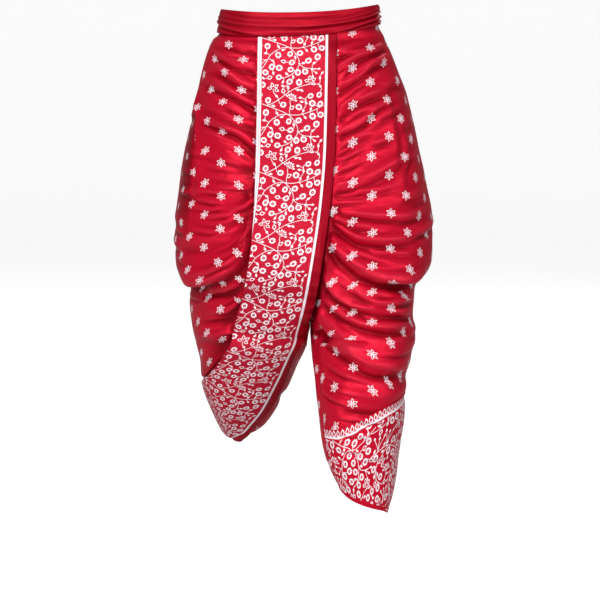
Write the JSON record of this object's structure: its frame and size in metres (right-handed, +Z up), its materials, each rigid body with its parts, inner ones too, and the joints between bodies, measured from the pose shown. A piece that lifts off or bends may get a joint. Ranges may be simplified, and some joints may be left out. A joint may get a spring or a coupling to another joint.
{
  "type": "dhoti pants",
  "caption": "Draped dhoti pants worn in a stride: cowl folds down both legs, long wrapped front panel, shaped hem border and a shirred waistband.",
  "frame": {"origin": "centre of the waist opening at mid height of the waistband, where the wearer holds the garment up", "axes": "+Z up, the garment's front faces -Y, the wearer's left leg is on +X and strides forward"},
  "size_m": [0.5032, 0.4413, 0.9551],
  "materials": {
    "star_satin": "red satin weave printed with small white six-petal stars",
    "vine_satin": "red satin weave printed with a dense white flowering vine",
    "edging_satin": "plain red satin",
    "band_satin": "plain darker red satin, shirred"
  },
  "bodies": {
    "root": {"right_leg": "star_satin", "left_leg": "star_satin", "left_hem_border": "vine_satin", "front_panel": "vine_satin", "panel_edging": "edging_satin", "waistband": "band_satin"}
  },
  "joints": []
}
